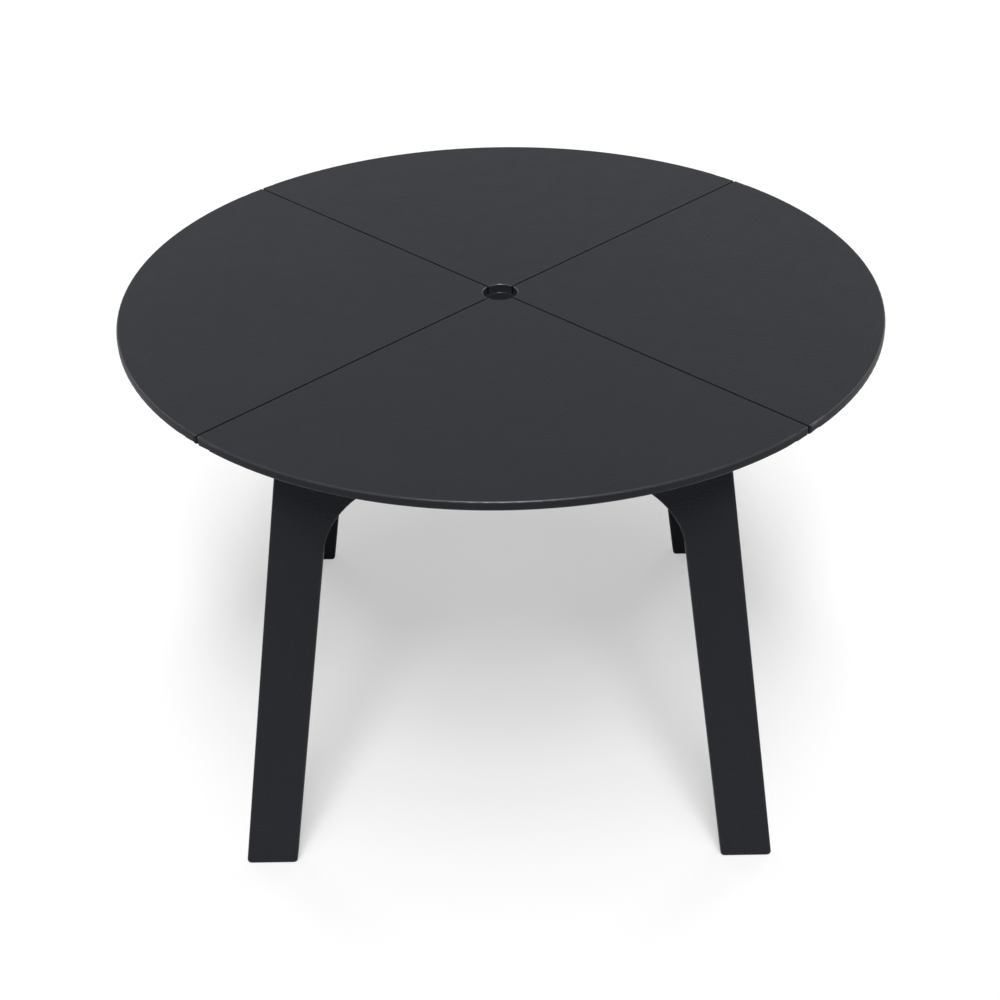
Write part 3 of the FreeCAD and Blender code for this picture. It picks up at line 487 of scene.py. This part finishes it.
nut = turned_blank("barrel_nut", NUT_RADIUS, -NUT_END, NUT_END)
choose(nut, "EDGE", lambda edge: level_edge(NUT_END)(edge) or level_edge(-NUT_END)(edge))
bpy.ops.mesh.bevel(offset=NUT_CHAMFER, segments=2)
bpy.ops.object.mode_set(mode="OBJECT")
bore = turned_blank("cross_hole", CROSS_HOLE_RADIUS, -CROSS_CUTTER_REACH, CROSS_CUTTER_REACH, sides=32)
bpy.ops.mesh.select_all(action="SELECT")
bpy.ops.transform.rotate(value=math.pi / 2, orient_axis="Y", center_override=(0, 0, 0))
bpy.ops.object.mode_set(mode="OBJECT")
combine(nut, bore, "DIFFERENCE")
bpy.ops.object.select_all(action="DESELECT")
bpy.ops.mesh.primitive_cube_add(size=1, location=(0, 0, SLOT_DEPTH - NUT_END - SLOT_CUTTER_HEIGHT / 2))
bpy.ops.transform.resize(value=(SLOT_CUTTER_LENGTH, SLOT_WIDTH, SLOT_CUTTER_HEIGHT))
bpy.ops.object.transform_apply(location=True, rotation=True, scale=True)
slot = bpy.context.object
slot.name = "slot"
bpy.ops.object.mode_set(mode="EDIT")
choose(slot, "EDGE", lambda edge: all(corner.co.z > SLOT_DEPTH / 2 - NUT_END for corner in edge.verts)
       and abs(edge.verts[0].co.y - edge.verts[1].co.y) < ALIKE)
bpy.ops.mesh.bevel(offset=SLOT_ROUNDING, segments=2)
bpy.ops.object.mode_set(mode="OBJECT")
combine(nut, slot, "DIFFERENCE")

NUT_SETBACK = 0.032
HOUSING_DEPTH = 0.005

rail_nut_line = -arch_inner_face - NUT_SETBACK
beam_nut_line = rail_inner_face + HOUSING_DEPTH - NUT_SETBACK
nut_places = [Matrix.Translation((rail_middle, back, level)) @ quarter_turns("Y", 1) @ quarter_turns("Z", 1)
              for back in (rail_nut_line, -rail_nut_line) for level in rail_bolt_levels]
nut_places += [Matrix.Translation((across, -beam_line, beam_bolt_level)) @ quarter_turns("X", 1)
               for across in (beam_nut_line, -beam_nut_line)]
set_out(nut, "barrel_nuts", round_table(nut_places, BOTH_ENDS))


# Hub plate and seam battens. They are cut from the thin sheet of the top, lie flat
# against its underside, and tie the four panels together. Painted shade darkens them
# where the seams run, and the pole has rubbed the edge of its hole.

THIN_PEBBLE_DEPTH = 0.0004

# Painted shade in the seams: a dark colour that fades out at each side of a seam, and begins just under the
# panels.
SEAM_PAINTED_SHADE = (0.0030, 0.0030, 0.0032, 1)
SEAM_SHADE_SHARE = 0.75
SEAM_SHADE_FADES = (0.0022, 0.0032)
SEAM_SHADE_BEGINS = (0.0015, 0.0003)
seam_shade_levels = [underside - depth for depth in SEAM_SHADE_BEGINS]

# How far from the table's middle the pole rubs, and how much more an edge shines there.
HOLE_EDGE = (0.028, 0.034)
HOLE_RUBBING = 1.6


def top_sheet_material(name, seed, buffing):
    """Level thin sheet, with painted shade where the seams run and a rubbed edge at the pole hole."""
    material = sheet_material(name, thickness_axis=2, seed=seed,
                              pebble_depth=THIN_PEBBLE_DEPTH, buffing=buffing)
    tree = material.node_tree
    shader = tree.nodes["Principled BSDF"]
    place = add_node(tree, "TexCoord").outputs["Object"]
    across, back, level = add_node(tree, "SeparateXYZ", {0: place}).outputs
    off_seam = math_node(tree, "SUBTRACT", math_node(tree, "ABSOLUTE", across),
                         math_node(tree, "ABSOLUTE", back))
    # Painted shade where the seams run.
    seam_shade = ramp(tree, math_node(tree, "ABSOLUTE", off_seam), SEAM_SHADE_FADES, (SEAM_SHADE_SHARE, 0.0))
    seam_shade = math_node(tree, "MULTIPLY", seam_shade, ramp(tree, level, seam_shade_levels))
    unshaded = shader.inputs["Base Color"].links[0].from_socket
    tree.links.new(blend_colour(tree, seam_shade, unshaded, SEAM_PAINTED_SHADE), shader.inputs["Base Color"])

    level_place = add_node(tree, "CombineXYZ", {0: across, 1: back}).outputs[0]
    from_middle = add_node(tree, "VectorMath", {0: level_place}, operation="LENGTH").outputs["Value"]
    shine = shader.inputs["Coat Weight"].links[0].from_socket
    shine = math_node(tree, "MULTIPLY", shine, ramp(tree, from_middle, HOLE_EDGE, (HOLE_RUBBING, 1.0)))
    tree.links.new(shine, shader.inputs["Coat Weight"])
    return material


under_sheet = top_sheet_material("underplate_sheet", seed=0.71, buffing=0.5)
dress(["hub_plate", "seam_batten_front_right", "seam_batten_rear_right",
       "seam_batten_rear_left", "seam_batten_front_left"], under_sheet)


# Hub screws. Four flat-headed screws hold the hub plate down on the beams. Their heads lie
# flush in its top, so that the panels close over them.

# Every other corner of the star is drawn in to its waist.
STAR_CORNERS = 12
STAR_RADIUS = 0.0023
STAR_WAIST = 0.72
STAR_ROUNDING = 0.00035
STAR_TAPER = 0.9
STAR_OVERSHOOT = 0.0010
STAR_DEPTH = 0.0017


def star_recess(bottom, depth):
    """Cutter for a six-lobed driver recess, from below a head's outer face."""
    bpy.ops.object.select_all(action="DESELECT")
    bpy.ops.mesh.primitive_circle_add(vertices=STAR_CORNERS, radius=STAR_RADIUS, fill_type="NGON",
                                      location=(0, 0, bottom - STAR_OVERSHOOT))
    bpy.ops.object.transform_apply(location=True, rotation=True, scale=True)
    star = bpy.context.object
    star.name = "star_recess"
    bpy.ops.object.mode_set(mode="EDIT")
    step = 2 * math.pi / STAR_CORNERS
    choose(star, "VERT", lambda corner: round(math.atan2(corner.co.x, corner.co.y) / step) % 2)
    bpy.ops.transform.resize(value=(STAR_WAIST, STAR_WAIST, 1), center_override=(0, 0, bottom))
    bpy.ops.mesh.select_all(action="SELECT")
    bpy.ops.mesh.bevel(offset=STAR_ROUNDING, segments=3, affect="VERTICES")
    bpy.ops.mesh.select_all(action="SELECT")
    bpy.ops.mesh.extrude_region_move(TRANSFORM_OT_translate={"value": (0, 0, depth + STAR_OVERSHOOT)})
    bpy.ops.transform.resize(value=(STAR_TAPER, STAR_TAPER, 1), center_override=(0, 0, bottom))
    bpy.ops.mesh.select_all(action="SELECT")
    bpy.ops.mesh.normals_make_consistent(inside=False)
    bpy.ops.object.mode_set(mode="OBJECT")
    return star


# The head, then the plain shank, the core that carries the thread, and the sharp point.
SCREW_HEAD_RADIUS = 0.005
SCREW_HEAD_THICKNESS = 0.0025
SCREW_RADIUS = 0.0022
SCREW_STEP = 0.0005
SCREW_CORE_RADIUS = 0.0017
SCREW_POINT_LENGTH = 0.0050
SCREW_POINT_RADIUS = 0.0002

# The thread starts a little past the plain shank and stops short of the point's end.
SCREW_THREAD_ROOT = 0.0015
SCREW_THREAD_CREST = 0.0025
SCREW_THREAD_FLANK = 0.0006
SCREW_THREAD_PITCH = 0.0024
SCREW_THREAD_START = 0.0012
SCREW_THREAD_SPARE = 0.0045


def board_screw(name, length, plain, head_low, rounding):
    """Screw for plastic board: a round head, a plain shank, a thread of wide pitch, a point."""
    head_high = head_low + SCREW_HEAD_THICKNESS
    screw = turned_blank(name, SCREW_HEAD_RADIUS, head_low, head_high)
    choose(screw, "EDGE", level_edge(head_low))
    bpy.ops.mesh.bevel(offset=rounding, segments=5)
    draw_out(screw, SCREW_HEAD_RADIUS, head_high, [
        (SCREW_RADIUS, plain),
        (SCREW_CORE_RADIUS, plain + SCREW_STEP),
        (SCREW_CORE_RADIUS, length - SCREW_POINT_LENGTH),
        (SCREW_POINT_RADIUS, length),
    ])
    bpy.ops.object.mode_set(mode="OBJECT")
    turns = int((length - plain - SCREW_THREAD_SPARE) / SCREW_THREAD_PITCH)
    add_thread(screw, SCREW_THREAD_ROOT, SCREW_THREAD_CREST, SCREW_THREAD_FLANK, SCREW_THREAD_PITCH,
               plain + SCREW_THREAD_START, turns)
    combine(screw, star_recess(head_low, STAR_DEPTH), "DIFFERENCE")
    return screw


HUB_SCREW_LINE = 0.060

hub_places = [Matrix.Translation((across, back, underside)) @ quarter_turns("X", 2)
              for across in (HUB_SCREW_LINE, -HUB_SCREW_LINE) for back in (beam_line, -beam_line)]
hub_screw = board_screw("hub_screw", length=0.0335, plain=0.0120, head_low=0.0, rounding=0.0003)
set_out(hub_screw, "hub_screws", hub_places)


# Top panels. Four quarters of the round top, routed from thin sheet, with eased seams
# and a rounded rim. Screws from below hold them.

for name, seed in (("top_panel_front", 0.11), ("top_panel_right", 0.23),
                   ("top_panel_rear", 0.47), ("top_panel_left", 0.83)):
    dress([name], top_sheet_material(name + "_sheet", seed, buffing=1.0))


# Screws up into the top. Pan-headed screws pass through the battens and the hub plate,
# through the cleats and, from deep holes in their lower edges, through the rails. Six more
# fix the cleats to the arches.

PAN_ROUNDING = 0.0016
ALL_ROUND = (0, 1, 2, 3)
TIP_SCREW_LINE = 0.120
SEAM_SCREW_OFFSET = 0.020

# Along a seam: beside the hub plate, before the rail, and out towards the batten's end.
SEAM_SCREW_REACHES = (0.1700, 0.29992, 0.45842)


def pan_screw(name, length, plain):
    """Board screw whose rounded head stands on the surface."""
    return board_screw(name, length, plain, head_low=-SCREW_HEAD_THICKNESS, rounding=PAN_ROUNDING)


seam_places = [Matrix.Translation((0, -TIP_SCREW_LINE, plate_level))]
for reach in SEAM_SCREW_REACHES:
    across = (reach - SEAM_SCREW_OFFSET) / math.sqrt(2)
    back = (reach + SEAM_SCREW_OFFSET) / math.sqrt(2)
    seam_places += [Matrix.Translation((side * across, -back, plate_level)) for side in (1, -1)]
seam_screw = pan_screw("seam_screw", length=0.0235, plain=0.0030)
set_out(seam_screw, "seam_screws", round_table(seam_places, ALL_ROUND))

CLEAT_SIDE_SPACING = 0.160
CLEAT_TOP_LINE = 0.080

cleat_inner_face = spans("front_cleat")[1][1]
cleat_middle = sum(spans("front_cleat")[1]) / 2
cleat_level = sum(spans("front_cleat")[2]) / 2
cleat_bottom = spans("front_cleat")[2][0]

side_places = [Matrix.Translation((across, cleat_inner_face, cleat_level)) @ quarter_turns("X", 1)
               for across in (-CLEAT_SIDE_SPACING, 0, CLEAT_SIDE_SPACING)]
cleat_side_screw = pan_screw("cleat_side_screw", length=0.0354, plain=0.0120)
set_out(cleat_side_screw, "cleat_side_screws", round_table(side_places, BOTH_ENDS))

top_places = [Matrix.Translation((across, cleat_middle, cleat_bottom))
              for across in (-CLEAT_TOP_LINE, CLEAT_TOP_LINE)]
cleat_top_screw = pan_screw("cleat_top_screw", length=0.0354, plain=0.0120)
set_out(cleat_top_screw, "cleat_top_screws", round_table(top_places, BOTH_ENDS))

RAIL_SCREW_SPACING = 0.150
COUNTERBORE_DEPTH = 0.020

rail_places = [Matrix.Translation((rail_middle, back, rail_bottom + COUNTERBORE_DEPTH))
               for back in (-RAIL_SCREW_SPACING, 0, RAIL_SCREW_SPACING)]
rail_screw = pan_screw("rail_screw", length=0.0500, plain=0.0250)
set_out(rail_screw, "rail_screws", round_table(rail_places, BOTH_ENDS))


# Floor and backdrop: a plain white studio floor that takes the table's soft shadow. From
# below it is clear, so that the underside can be looked at too.

FLOOR_SIZE = 60
FLOOR_ALBEDO = 0.60
FLOOR_GLOW = 0.45


def seen(tree):
    """1 where the studio is looked at, also in a glossy surface or through a clear one, and
    0 where it lights the table."""
    rays = add_node(tree, "LightPath").outputs
    indirectly = math_node(tree, "MAXIMUM", rays["Is Glossy Ray"], rays["Is Transmission Ray"])
    return math_node(tree, "MAXIMUM", rays["Is Camera Ray"], indirectly)


bpy.ops.object.select_all(action="DESELECT")
bpy.ops.mesh.primitive_plane_add(size=FLOOR_SIZE)
floor = bpy.context.object
floor.name = "studio_floor"
paper = bpy.data.materials.new("studio_floor_paper")
paper.use_nodes = True
tree = paper.node_tree
tree.nodes.clear()
matte = add_node(tree, "BsdfDiffuse", {"Color": (FLOOR_ALBEDO, FLOOR_ALBEDO, FLOOR_ALBEDO, 1)}).outputs[0]
glow_strength = math_node(tree, "MULTIPLY", seen(tree), FLOOR_GLOW)
glow = add_node(tree, "Emission", {"Color": (1, 1, 1, 1), "Strength": glow_strength}).outputs[0]
from_above = add_node(tree, "AddShader", {0: matte, 1: glow}).outputs[0]
clear = add_node(tree, "BsdfTransparent").outputs[0]
below = add_node(tree, "NewGeometry").outputs["Backfacing"]
either = add_node(tree, "MixShader", {0: below, 1: from_above, 2: clear}).outputs[0]
tree.links.new(either, add_node(tree, "OutputMaterial").inputs["Surface"])
floor.data.materials.append(paper)

FILL_SHARE = 0.08

world = bpy.data.worlds.new("studio")
bpy.context.scene.world = world
world.use_nodes = True
tree = world.node_tree
backdrop = tree.nodes["Background"]
backdrop.inputs["Color"].default_value = (1, 1, 1, 1)
tree.links.new(ramp(tree, seen(tree), (0.0, 1.0), (FILL_SHARE, 1.0)), backdrop.inputs["Strength"])


# Soft studio light. The key comes from in front, in five lamps from overhead down to a low
# pair, and two wide lamps stand at the rear sides. All are far away, so that the floor stays
# evenly lit around the table's shadow.

def soft_light(name, tilt, heading, spread, share):
    """Lamp leaning from straight up towards a heading (degrees), as wide as spread, that
    gives its share of the light on the open floor."""
    lamp = bpy.data.lights.new(name, "SUN")
    lamp.angle = math.radians(spread)
    lamp.energy = share * math.pi / math.cos(math.radians(tilt))
    holder = bpy.data.objects.new(name, lamp)
    bpy.context.scene.collection.objects.link(holder)
    holder.rotation_euler = (Matrix.Rotation(math.radians(heading), 4, "Z")
                             @ Matrix.Rotation(math.radians(tilt), 4, "Y")).to_euler()


soft_light("key_top", tilt=3, heading=-90, spread=17, share=0.12)
soft_light("key_high", tilt=17, heading=-90, spread=15, share=0.18)
soft_light("key_front", tilt=31, heading=-90, spread=15, share=0.28)
soft_light("key_low_left", tilt=42, heading=-98, spread=9, share=0.105)
soft_light("key_low_right", tilt=42, heading=-82, spread=9, share=0.105)
soft_light("side_left", tilt=62, heading=126, spread=30, share=0.06)
soft_light("side_right", tilt=62, heading=54, spread=30, share=0.06)


# Camera at the photograph's place and angle, fitted to the outline of the top, its seams and
# hole, and the legs.

CAMERA_PLACE = (-0.0025, -2.2804, 1.9078)
CAMERA_ELEVATION = math.radians(33.71)
CAMERA_TURN = math.radians(0.074)
CAMERA_ROLL = math.radians(-0.961)
LENS = 61.81
SENSOR_WIDTH = 36

camera = bpy.data.objects.new("camera", bpy.data.cameras.new("camera"))
bpy.context.scene.collection.objects.link(camera)
camera.data.sensor_width = SENSOR_WIDTH
camera.data.lens = LENS
camera.matrix_world = (Matrix.Translation(CAMERA_PLACE) @ Matrix.Rotation(CAMERA_TURN, 4, "Z")
                       @ Matrix.Rotation(math.pi / 2 - CAMERA_ELEVATION, 4, "X")
                       @ Matrix.Rotation(CAMERA_ROLL, 4, "Z"))
bpy.context.scene.camera = camera
bpy.context.scene.view_settings.view_transform = "Standard"


bpy.context.view_layer.update()
